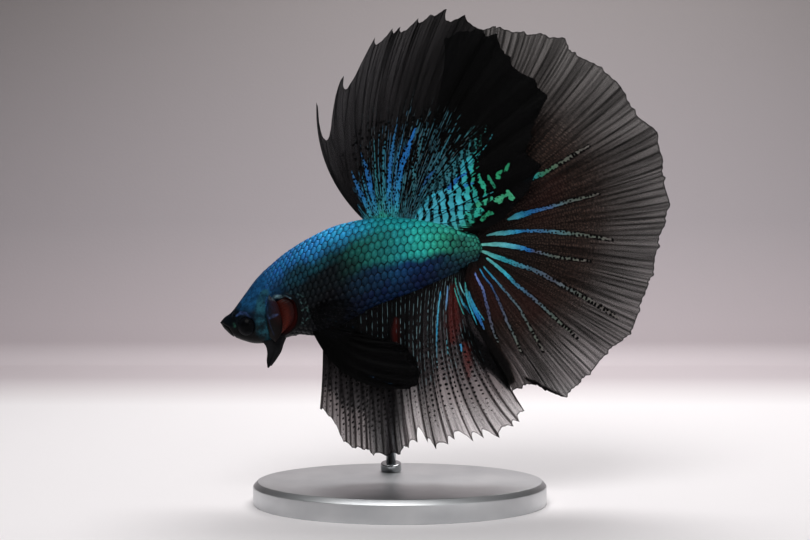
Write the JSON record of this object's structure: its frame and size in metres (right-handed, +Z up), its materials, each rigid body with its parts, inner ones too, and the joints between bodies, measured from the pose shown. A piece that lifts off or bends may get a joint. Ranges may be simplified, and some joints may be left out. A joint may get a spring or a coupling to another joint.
{
  "type": "betta fish display model",
  "caption": "Life-size male halfmoon betta fish with spread fins, held nose down by a thin rod on a flat oval base.",
  "frame": {"origin": "middle of the underside of the stand's oval base", "axes": "+Z up; -X the way the nose points; -Y the side of the left flank"},
  "size_m": [0.0711, 0.03, 0.0776],
  "materials": {
    "scaled_skin": "wet, pearly blue-green scales with dark edges; black face and belly",
    "eye": "polished black eyeball with a dark blue-green iris",
    "gill_membrane": "soft dark skin",
    "fin": "smoky see-through web between dark rays, with pearly blue and green streaks near the body",
    "stand_aluminium": "satin, bead blasted",
    "stand_steel": "drawn and polished"
  },
  "bodies": {
    "root": {"head": "scaled_skin", "lower_jaw": "scaled_skin", "trunk": "scaled_skin", "tail_stalk": "scaled_skin", "gill_cover_left": "scaled_skin", "gill_cover_right": "scaled_skin", "eye_left": "eye", "eye_right": "eye", "gill_membrane_left": "gill_membrane", "gill_membrane_right": "gill_membrane", "dorsal_fin": "fin", "tail_fin": "fin", "anal_fin": "fin", "pectoral_fin_left": "fin", "pectoral_fin_right": "fin", "pelvic_fin_left": "fin", "pelvic_fin_right": "fin", "stand_base": "stand_aluminium", "stand_collar": "stand_steel", "stand_rod": "stand_steel"}
  },
  "joints": []
}
